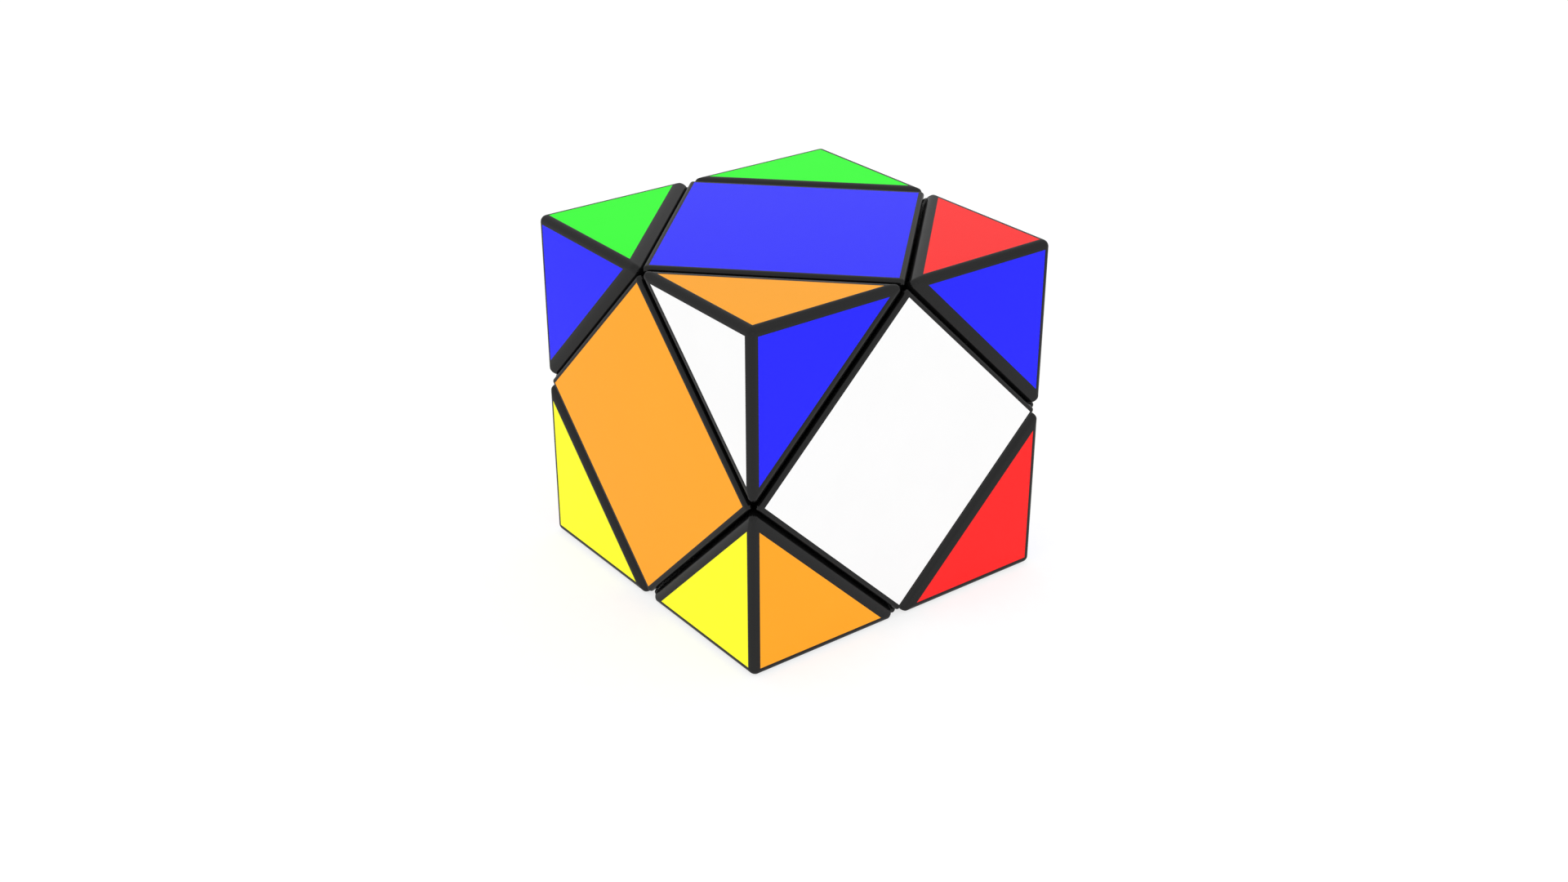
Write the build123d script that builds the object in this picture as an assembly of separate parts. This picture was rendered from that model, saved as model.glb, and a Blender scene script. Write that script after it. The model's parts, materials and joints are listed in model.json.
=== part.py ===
from build123d import *
import os

# A corner-turning cube puzzle. Four planes through the cube's centre, each square to a body
# diagonal, cut it into eight corners and six square centres on a ball core with four arms.
# Millimetres, origin at the cube's centre, +Z up, +X right, -Y front.

# Outside
EDGE = 55.0                # cube edge
STICKER = 0.2              # sticker thickness, let into the face and flush with it
STICKER_EDGE = 1.27        # corner sticker to the cube edge
STICKER_CUT_CORNER = 1.63  # corner sticker to the cut
STICKER_CUT_CENTRE = 1.57  # centre sticker to the cut
GAP = 0.15                 # each piece stands this far back from the cut
CUBE_EDGE_ROUND = 1.1      # corner piece, along the cube's edges
CUT_EDGE_ROUND = 2.2       # corner piece, between its faces and the cuts
TIP_ROUND = 0.75           # corner piece, at its tips and down the edges inside the cuts
CENTRE_ROUND = 0.57        # centre piece, all edges

# Mechanism, in layers round the cube's centre
CORE = 12.0                # ball radius
FEET = (12.25, 16.75)      # inner and outer radius of the feet
TONGUES = (17.0, 20.25)    # tongues that pass over the neighbours' feet
SHELL = 20.5               # inside of the outer pieces
TONGUE_REACH = 2.75        # how far a tongue passes beyond the cut

# Hollow bodies and the caps that plug into them
WALL = 1.5
LIP = 1.0                  # thickness of a cap's lip
LIP_FIT = 0.08             # between the lip and the body
LIP_DEPTH = 2.0
CORNER_SEAM = 28.0         # from the cube's centre along a diagonal
CENTRE_SEAM = 23.5         # from the cube's centre along an axis

# Arms of the core, with a screw, washer and spring on each
ARM = 2.6                  # radius
ARM_END = 17.5             # from the cube's centre
ARM_FIT = 0.1
SCREW = 1.45               # radius
SCREW_FIT = 0.05
SCREW_TIP = 10.0
BORE_END = 9.0
FLOOR_HOLE = 1.65          # radius, through the corner's floor
SEAT = 22.0                # spring seat on the floor
SEAT_RADIUS = 4.5
WIRE = 0.3                 # radius
COIL = 2.15                # radius to the middle of the wire
COIL_TURNS = 3.25
COIL_PLAY = 0.02
WASHER_SEAT = 26.0
WASHER_HOLE = 1.6
WASHER = 3.2               # radius
WASHER_THICK = 0.5
HEAD = 2.8                 # radius
HEAD_HEIGHT = 2.0
HEAD_ROUND = 0.8
RECESS_WIDTH = 0.8
RECESS_LENGTH = 3.4
RECESS_DEPTH = 1.1

HALF = EDGE / 2
BLOCK = 4 * EDGE
TOUCHING = 0.001
LOW = (Align.CENTER, Align.CENTER, Align.MIN)

FACES = {
    "top": Vector(0, 0, 1), "bottom": Vector(0, 0, -1),
    "right": Vector(1, 0, 0), "left": Vector(-1, 0, 0),
    "back": Vector(0, 1, 0), "front": Vector(0, -1, 0),
}
AXES = (FACES["right"], FACES["back"], FACES["top"])

# Corners on the core's arms and the loose corners between them. Each set is one corner turned
# half a turn about X, Y and Z.
FIXED_CORNER = Vector(1, -1, 1)
LOOSE_CORNER = Vector(1, 1, 1)
FIXED_TURNS = {"ufr": [], "ubl": [(Axis.Z, 180)], "dfl": [(Axis.Y, 180)], "dbr": [(Axis.X, 180)]}
LOOSE_TURNS = {"ubr": [], "ufl": [(Axis.Z, 180)], "dbl": [(Axis.Y, 180)], "dfr": [(Axis.X, 180)]}

# The centres are the top one turned about the arm of the front right corner.
ARM_AXIS = Axis((0, 0, 0), (1, -1, 1))
CENTRE_TURNS = {
    "top": [], "bottom": [(Axis.X, 180)],
    "front": [(ARM_AXIS, 120)], "back": [(ARM_AXIS, 120), (Axis.Z, 180)],
    "right": [(ARM_AXIS, 240)], "left": [(ARM_AXIS, 240), (Axis.Z, 180)],
}

# The puzzle is scrambled: the colour of each piece on each face
COLOURS = {
    "ufr": {"top": "orange", "right": "blue", "front": "white"},
    "ubl": {"top": "green", "left": "orange", "back": "yellow"},
    "dfl": {"bottom": "white", "left": "red", "front": "yellow"},
    "dbr": {"bottom": "green", "right": "red", "back": "blue"},
    "ufl": {"top": "green", "front": "blue", "left": "orange"},
    "ubr": {"top": "red", "back": "white", "right": "blue"},
    "dfr": {"bottom": "white", "front": "yellow", "right": "orange"},
    "dbl": {"bottom": "yellow", "back": "red", "left": "green"},
    "top": {"top": "blue"}, "front": {"front": "orange"}, "right": {"right": "white"},
    "bottom": {"bottom": "red"}, "left": {"left": "green"}, "back": {"back": "yellow"},
}
TURNING_HALF = ("ufl", "ubr", "dfr", "top", "front", "right")


def bounded(limits):
    """The convex solid inside every (outward normal, distance) plane."""
    solid = Box(BLOCK, BLOCK, BLOCK)
    for normal, distance in limits:
        outward = normal.normalized()
        plane = Plane(outward * distance, z_dir=outward)
        solid = split(solid, bisect_by=plane, keep=Keep.BOTTOM)
    return solid


def layer(limits, inner, outer):
    """The part of a bounded solid between two spheres."""
    return (bounded(limits) & Sphere(outer)) - Sphere(inner)


def lies_on(edge, limit):
    normal, distance = limit
    return abs(normal.normalized().dot(edge.center()) - distance) < TOUCHING


def filleted(limits, radius):
    """A bounded solid with the edges between its planes filleted."""
    solid = bounded(limits)
    edges = [edge for edge in solid.edges() if sum(lies_on(edge, limit) for limit in limits) > 1]
    return fillet(edges, radius)


def inset(normals, distance, depth):
    """Planes at one distance from the centre, moved in by a depth."""
    return [(normal, distance - depth) for normal in normals]


def corner_outside(walls, cuts):
    """A corner piece before it is hollowed, from the normals of its cube faces and of the cuts
    across them."""
    faces = inset(walls, HALF, TIP_ROUND)
    sides = inset(cuts, -GAP, TIP_ROUND)
    solid = filleted(faces, CUBE_EDGE_ROUND - TIP_ROUND)
    for face, side in zip(faces, sides):
        solid &= filleted([face, side], CUT_EDGE_ROUND - TIP_ROUND)
    return offset(solid, amount=TIP_ROUND, kind=Kind.ARC)


def centre_outside(wall, cuts):
    """A centre piece before it is hollowed."""
    limits = inset([wall], HALF, CENTRE_ROUND) + inset(cuts, -GAP, CENTRE_ROUND)
    return offset(bounded(limits), amount=CENTRE_ROUND, kind=Kind.ARC)


def body_and_cap(outside, walls, cuts, axis, seam):
    """A hollow body with its foot and tongues, and the cap that plugs into it.

    walls are the normals of its cube faces, and cuts pairs the normal of each cut beside it
    with how far its tongue stands beyond that cut.
    """
    sides = [(cut, -GAP) for cut, reach in cuts]
    tongue = [(cut, reach - GAP) for cut, reach in cuts]
    stem = [(cut, min(reach, 0) - GAP) for cut, reach in cuts]
    room = [(cut, -GAP - WALL) for cut, reach in cuts]
    lip_outside = [(cut, -GAP - WALL - LIP_FIT) for cut, reach in cuts]
    lip_inside = [(cut, -GAP - WALL - LIP_FIT - LIP) for cut, reach in cuts]

    body = (outside & bounded([(axis, seam)])) - Sphere(SHELL)
    body -= bounded(room) - Sphere(SHELL + WALL)
    body += layer(stem, FEET[0], SHELL + WALL)
    body += layer(tongue, *TONGUES)
    body += layer(sides, *FEET)

    lip = bounded(lip_outside + [(axis, seam + WALL), (-axis, LIP_DEPTH - seam)])
    hollow = bounded([(wall, HALF - WALL) for wall in walls] + lip_inside)
    cap = (outside & bounded([(-axis, -seam)])) + lip - hollow
    return body, cap


def corner_body_and_cap(corner, reach):
    """A corner piece. It is cut by the planes square to the three diagonals beside its own."""
    x, y, z = corner
    walls = [Vector(x, 0, 0), Vector(0, y, 0), Vector(0, 0, z)]
    normals = [Vector(x, -y, -z), Vector(-x, y, -z), Vector(-x, -y, z)]
    outside = corner_outside(walls, normals)
    cuts = [(normal, reach) for normal in normals]
    body, cap = body_and_cap(outside, walls, cuts, corner, CORNER_SEAM)
    for wall in walls:
        cap -= corner_sticker(corner, wall)
    return body, cap


def centre_body_and_cap():
    """The top centre. Its tongues pass under the two loose corners beside it, and the fixed
    corners' tongues pass over its foot."""
    up = FACES["top"]
    beside_fixed = [(Vector(-1, 1, -1), -TONGUE_REACH), (Vector(1, -1, -1), -TONGUE_REACH)]
    beside_loose = [(Vector(-1, -1, -1), TONGUE_REACH), (Vector(1, 1, -1), TONGUE_REACH)]
    cuts = beside_fixed + beside_loose
    outside = centre_outside(up, [normal for normal, reach in cuts])
    body, cap = body_and_cap(outside, [up], cuts, up, CENTRE_SEAM)
    return body, cap - centre_sticker(up)


def along(corner, solid):
    """A solid drawn up the Z axis, laid along a corner's diagonal."""
    return Plane((0, 0, 0), z_dir=corner.normalized()) * solid


def fixed_corner_body_and_cap():
    """A corner with a bore for the core's arm, a hole for the screw and a seat for the spring."""
    body, cap = corner_body_and_cap(FIXED_CORNER, TONGUE_REACH)
    seat = Pos(0, 0, TONGUES[1]) * Cylinder(SEAT_RADIUS, SEAT - TONGUES[1], align=LOW)
    bore = Cylinder(ARM + ARM_FIT, ARM_END + ARM_FIT, align=LOW)
    hole = Cylinder(FLOOR_HOLE, SEAT + WALL, align=LOW)
    body += along(FIXED_CORNER, seat)
    body -= along(FIXED_CORNER, bore)
    body -= along(FIXED_CORNER, hole)
    return body, cap


def arm_and_bore():
    """One arm of the core and the bore for its screw."""
    arm = Cylinder(ARM, ARM_END, align=LOW)
    bore = Pos(0, 0, BORE_END) * Cylinder(SCREW + SCREW_FIT, ARM_END, align=LOW)
    return along(FIXED_CORNER, arm), along(FIXED_CORNER, bore)


def core():
    ball = Sphere(CORE)
    arm, bore = arm_and_bore()
    for turns in FIXED_TURNS.values():
        ball += turned(arm, turns)
    for turns in FIXED_TURNS.values():
        ball -= turned(bore, turns)
    return ball


def screw():
    """A pan-head screw with a cross recess."""
    under_head = WASHER_SEAT + WASHER_THICK
    head = Cylinder(HEAD, HEAD_HEIGHT, align=LOW)
    head = fillet(head.edges().group_by(Axis.Z)[-1], HEAD_ROUND)
    recess_floor = Pos(0, 0, HEAD_HEIGHT - RECESS_DEPTH)
    for width, length in ((RECESS_WIDTH, RECESS_LENGTH), (RECESS_LENGTH, RECESS_WIDTH)):
        head -= recess_floor * Box(width, length, HEAD_HEIGHT, align=LOW)
    shank = Pos(0, 0, SCREW_TIP) * Cylinder(SCREW, under_head - SCREW_TIP, align=LOW)
    shank = chamfer(shank.edges().group_by(Axis.Z)[0], SCREW / 3)
    return along(FIXED_CORNER, shank + Pos(0, 0, under_head) * head)


def washer():
    ring = Cylinder(WASHER, WASHER_THICK, align=LOW) - Cylinder(WASHER_HOLE, BLOCK)
    return along(FIXED_CORNER, Pos(0, 0, WASHER_SEAT) * ring)


def spring():
    height = WASHER_SEAT - SEAT - 2 * (WIRE + COIL_PLAY)
    path = Helix(height / COIL_TURNS, height, COIL)
    section = Plane(path @ 0, z_dir=path % 0) * Circle(WIRE)
    coil = sweep(section, path=path, is_frenet=True)
    return along(FIXED_CORNER, Pos(0, 0, SEAT + WIRE + COIL_PLAY) * coil)


def turned(solid, turns):
    for axis, angle in turns:
        solid = solid.rotate(axis, angle)
    return solid


def sticker(outline, normal):
    """A sticker with its outside on a face of the cube."""
    face = Face(Wire.make_polygon(outline, close=True))
    return extrude(face, amount=STICKER, dir=-normal)


def corner_sticker(corner, normal):
    """A right triangle, with its legs beside the cube's edges."""
    outer = HALF - STICKER_EDGE
    inner = HALF + STICKER_CUT_CORNER * 2 ** 0.5 - outer
    u, v = [axis * corner.dot(axis) for axis in AXES if not axis.dot(normal)]
    points = ((outer, outer), (outer, inner), (inner, outer))
    return sticker([u * a + v * b + normal * HALF for a, b in points], normal)


def centre_sticker(normal):
    """A square standing on its corner."""
    reach = HALF - STICKER_CUT_CENTRE * 2 ** 0.5
    u, v = [axis for axis in AXES if not axis.dot(normal)]
    return sticker([w * reach + normal * HALF for w in (u, v, -u, -v)], normal)


def sticker_node(piece, face, colour):
    """The node that a sticker belongs to. Those on a cap that pulls off have one each, and the
    others share one by colour and by half of the cube."""
    if piece in FIXED_TURNS:
        return f"sticker_{piece}_{face}_{colour}"
    half = "turning" if piece in TURNING_HALF else "resting"
    return f"stickers_{half}_{colour}"


def stickers():
    """Every sticker, by node. A corner points at the sum of its three faces."""
    nodes = {}
    for piece, colours in COLOURS.items():
        corner = sum((FACES[face] for face in colours), Vector())
        for face, colour in colours.items():
            normal = FACES[face]
            solid = corner_sticker(corner, normal) if len(colours) == 3 else centre_sticker(normal)
            nodes.setdefault(sticker_node(piece, face, colour), []).append(solid)
    return nodes


def save(node, solids):
    shape = solids[0] if len(solids) == 1 else Compound(solids)
    export_step(shape, f"parts/{node}.step")


os.makedirs("parts", exist_ok=True)
save("core", [core()])

fixed_body, fixed_cap = fixed_corner_body_and_cap()
loose_body, loose_cap = corner_body_and_cap(LOOSE_CORNER, -TONGUE_REACH)
centre_body, centre_cap = centre_body_and_cap()
families = (
    ("corner", fixed_body, fixed_cap, FIXED_TURNS),
    ("corner", loose_body, loose_cap, LOOSE_TURNS),
    ("centre", centre_body, centre_cap, CENTRE_TURNS),
)
for kind, body, cap, places in families:
    for place, turns in places.items():
        save(f"{kind}_{place}_body", [turned(body, turns)])
        save(f"{kind}_{place}_cap", [turned(cap, turns)])

one_screw, one_washer, one_spring = screw(), washer(), spring()
for place, turns in FIXED_TURNS.items():
    save(f"screw_{place}", [turned(one_screw, turns)])
save("washers", [turned(one_washer, turns) for turns in FIXED_TURNS.values()])
save("springs", [turned(one_spring, turns) for turns in FIXED_TURNS.values()])

for node, solids in stickers().items():
    save(node, solids)
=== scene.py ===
import json
from math import cos, radians, sin

import bpy
from mathutils import Matrix, Vector


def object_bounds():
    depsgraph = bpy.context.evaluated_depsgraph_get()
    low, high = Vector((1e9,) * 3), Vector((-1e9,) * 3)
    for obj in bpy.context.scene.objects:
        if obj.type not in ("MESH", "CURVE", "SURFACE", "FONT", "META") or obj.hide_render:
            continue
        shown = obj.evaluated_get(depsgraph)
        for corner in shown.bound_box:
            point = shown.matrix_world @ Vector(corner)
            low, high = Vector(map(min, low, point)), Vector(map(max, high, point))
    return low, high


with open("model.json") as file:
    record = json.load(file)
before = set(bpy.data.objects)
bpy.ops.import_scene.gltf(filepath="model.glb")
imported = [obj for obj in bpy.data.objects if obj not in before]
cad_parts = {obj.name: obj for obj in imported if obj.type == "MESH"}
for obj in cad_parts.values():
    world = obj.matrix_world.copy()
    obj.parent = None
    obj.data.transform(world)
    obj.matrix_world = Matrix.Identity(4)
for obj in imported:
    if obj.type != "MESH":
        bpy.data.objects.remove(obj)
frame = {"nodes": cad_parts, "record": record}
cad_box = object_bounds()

# A cube twisty puzzle standing on a pale floor. Metres, in the frame of the CAD model.

MM = 0.001
HALF = (cad_box[1] - cad_box[0]).x / 2
FLOOR = cad_box[0].z

# The camera. Its distance, offsets and clipping are in half edges of the cube.
AZIMUTH = 52.967
ELEVATION = 27.061
DISTANCE = 10.653
OFFSET_RIGHT = -0.0348
OFFSET_UP = -0.2752
LENS = 42.99
SENSOR = 36.0
CLIP_NEAR = 0.1
CLIP_FAR = 1000

# Light from all round, and one softbox to the front right
WORLD_STRENGTH = 1.0
KEY_PLACE = (1.1, -0.6, 0.5)
KEY_SIZE = 0.8
KEY_WATTS = 0.35

# The floor is just below the puzzle, so that it doesn't share a plane with the stickers underneath.
# It glows, which keeps it pale in the puzzle's shade.
FLOOR_SIZE = 8.0
FLOOR_DROP = 0.02 * MM
FLOOR_GREYS = (0.30, 0.32)
FLOOR_GLOW = 0.74

# Linear colours
VINYL = {
    "orange": (0.99, 0.38, 0.005),
    "blue": (0.005, 0.005, 0.99),
    "white": (0.94, 0.94, 0.94),
    "yellow": (0.99, 0.99, 0.005),
    "red": (0.99, 0.005, 0.005),
    "green": (0.005, 0.99, 0.005),
}
BLACK_PLASTIC = (0.004, 0.004, 0.004)
IVORY_PLASTIC = (0.74, 0.72, 0.66)
STEEL_DARK = (0.50, 0.50, 0.51, 1)
STEEL_LIGHT = (0.66, 0.66, 0.67, 1)

# Gloss: the refractive index seen square on and at a grazing angle, and the stretch of the layer
# weight's "Facing" over which it changes from one to the other
INDEX_SQUARE_ON = 1.35
INDEX_GRAZING = 1.13
FACING_START = 0.2
FACING_END = 0.7

# Sockets of a colour mix node, which share their names with its other data types
MIX_FACTOR = 0
MIX_FIRST = 6
MIX_SECOND = 7
MIX_RESULT = 2


class Material:
    """A principled material and the few texture nodes that feed it."""

    def __init__(self, name):
        self.material = bpy.data.materials.new(name)
        self.material.use_nodes = True
        self.tree = self.material.node_tree
        self.shader = self.tree.nodes["Principled BSDF"]
        self.place = self.tree.nodes.new("ShaderNodeTexCoord")

    def add(self, kind, inputs, **settings):
        """A new node. Its inputs are numbers, colours or other nodes' outputs, by name."""
        node = self.tree.nodes.new(kind)
        for key, value in settings.items():
            setattr(node, key, value)
        for key, value in inputs.items():
            self.feed(node.inputs[key], value)
        return node

    def feed(self, socket, value):
        """Links a node's output to a socket, or gives the socket a fixed value."""
        if isinstance(value, bpy.types.NodeSocket):
            self.tree.links.new(value, socket)
        else:
            socket.default_value = value

    def set(self, **inputs):
        """Feeds the shader. An underscore in a key stands for the space in a socket's name."""
        for key, value in inputs.items():
            self.feed(self.shader.inputs[key.replace("_", " ")], value)

    def noise(self, size, detail=2.0, stretch=(1, 1, 1)):
        """Noise with features of about a size in metres."""
        scaled = self.add("ShaderNodeMapping", {"Vector": self.place.outputs["Object"],
                                                "Scale": [s / size for s in stretch]})
        texture = self.add("ShaderNodeTexNoise", {"Vector": scaled.outputs[0],
                                                  "Scale": 1.0, "Detail": detail})
        return texture.outputs["Fac"]

    def spread(self, value, low, high, start=0.3, end=0.7):
        """A value between start and end, spread over low to high. Noise is mostly 0.3 to 0.7."""
        return self.add("ShaderNodeMapRange", {"Value": value, "From Min": start, "From Max": end,
                                               "To Min": low, "To Max": high}).outputs[0]

    def blend(self, factor, first, second):
        """The first colour where the factor is 0, and the second where it is 1."""
        mix = self.add("ShaderNodeMix", {}, data_type="RGBA")
        self.feed(mix.inputs[MIX_FACTOR], factor)
        self.feed(mix.inputs[MIX_FIRST], first)
        self.feed(mix.inputs[MIX_SECOND], second)
        return mix.outputs[MIX_RESULT]

    def gloss(self):
        """A refractive index that falls towards grazing angles, which keeps the sheen soft there."""
        weight = self.add("ShaderNodeLayerWeight", {"Blend": 0.5})
        return self.spread(weight.outputs["Facing"], INDEX_SQUARE_ON, INDEX_GRAZING,
                           FACING_START, FACING_END)

    def bump(self, height, depth):
        """Surface relief of a depth in metres."""
        return self.add("ShaderNodeBump", {"Height": height, "Distance": depth,
                                           "Strength": 1.0}).outputs[0]


def tinted(colour, gain):
    return (*(min(channel * gain, 1.0) for channel in colour), 1.0)


def grey(level):
    return (level, level, level, 1)


def moulded_plastic(name, colour, roughness):
    """Injection-moulded plastic: a fine mould texture and slightly uneven gloss."""
    m = Material(name)
    cloud = m.noise(6 * MM, 3.0)
    grain = m.noise(0.12 * MM, 2.0)
    m.set(Base_Color=m.blend(m.spread(cloud, 0, 1), tinted(colour, 0.88), tinted(colour, 1.12)),
          Roughness=m.spread(cloud, roughness - 0.04, roughness + 0.05),
          IOR=m.gloss(),
          Normal=m.bump(grain, 0.0005 * MM))
    return m.material


def vinyl(name, colour):
    """Printed vinyl film: a faint orange peel, fine scuffs and a soft gloss."""
    m = Material(name)
    print_cloud = m.noise(9 * MM, 2.0)
    peel = m.noise(0.9 * MM, 1.0)
    scuff = m.noise(1.2 * MM, 2.0)
    m.set(Base_Color=m.blend(m.spread(print_cloud, 0, 1), tinted(colour, 0.994), tinted(colour, 1.006)),
          Roughness=m.spread(scuff, 0.19, 0.26),
          IOR=m.gloss(),
          Normal=m.bump(peel, 0.001 * MM))
    return m.material


def steel(name, roughness):
    """Turned steel, with fine brushing."""
    m = Material(name)
    brushing = m.noise(0.06 * MM, 3.0, stretch=(1, 1, 0.1))
    m.set(Base_Color=m.blend(m.spread(brushing, 0, 1), STEEL_DARK, STEEL_LIGHT),
          Metallic=1.0,
          Roughness=m.spread(brushing, roughness - 0.06, roughness + 0.08),
          Normal=m.bump(brushing, 0.002 * MM))
    return m.material


def floor_paper(name):
    """Matt white paper with a faint fibre."""
    m = Material(name)
    fibre = m.noise(2 * MM, 3.0)
    m.set(Base_Color=m.blend(m.spread(fibre, 0, 1), *(grey(level) for level in FLOOR_GREYS)),
          Roughness=0.9, Specular_IOR_Level=0.2,
          Emission_Color=grey(1), Emission_Strength=FLOOR_GLOW)
    return m.material


def dress(nodes):
    """Gives each CAD node the material of its slot."""
    slots = {part["node"]: part["material_slot"] for part in frame["record"]["subparts"]}
    finishes = {
        "shell_plastic": moulded_plastic("shell_plastic", BLACK_PLASTIC, 0.16),
        "core_plastic": moulded_plastic("core_plastic", IVORY_PLASTIC, 0.45),
        "screw_steel": steel("screw_steel", 0.28),
        "spring_steel": steel("spring_steel", 0.22),
    }
    for name, colour in VINYL.items():
        finishes["sticker_" + name] = vinyl("vinyl_" + name, colour)
    for name, node in nodes.items():
        node.data.materials.clear()
        node.data.materials.append(finishes[slots[name]])


def add_camera():
    az, el = radians(AZIMUTH), radians(ELEVATION)
    back = Vector((sin(az) * cos(el), -cos(az) * cos(el), sin(el)))
    right = Vector((cos(az), sin(az), 0))
    up = back.cross(right)
    camera = bpy.data.objects.new("camera", bpy.data.cameras.new("camera"))
    camera.data.sensor_width = SENSOR
    camera.data.lens = LENS
    camera.data.clip_start = HALF * CLIP_NEAR
    camera.data.clip_end = HALF * CLIP_FAR
    camera.matrix_world = Matrix((right, up, back)).transposed().to_4x4()
    camera.location = HALF * (DISTANCE * back + OFFSET_RIGHT * right + OFFSET_UP * up)
    bpy.context.scene.collection.objects.link(camera)
    bpy.context.scene.camera = camera


def add_softbox(name, place, size, watts):
    """A square area light that faces the puzzle."""
    light = bpy.data.lights.new(name, "AREA")
    light.size = size
    light.energy = watts
    softbox = bpy.data.objects.new(name, light)
    softbox.location = place
    softbox.rotation_mode = "QUATERNION"
    softbox.rotation_quaternion = Vector(place).to_track_quat("Z", "Y")
    bpy.context.scene.collection.objects.link(softbox)


def add_studio():
    scene = bpy.context.scene
    scene.view_settings.view_transform = "Standard"
    scene.world = bpy.data.worlds.new("studio")
    scene.world.use_nodes = True
    background = scene.world.node_tree.nodes["Background"]
    background.inputs["Color"].default_value = grey(1)
    background.inputs["Strength"].default_value = WORLD_STRENGTH
    add_softbox("key_light", KEY_PLACE, KEY_SIZE, KEY_WATTS)


def add_floor():
    bpy.ops.mesh.primitive_plane_add(size=FLOOR_SIZE, location=(0, 0, FLOOR - FLOOR_DROP))
    floor = bpy.context.object
    floor.name = "floor"
    floor.data.materials.append(floor_paper("floor_paper"))


add_camera()
add_studio()
add_floor()
dress(frame["nodes"])
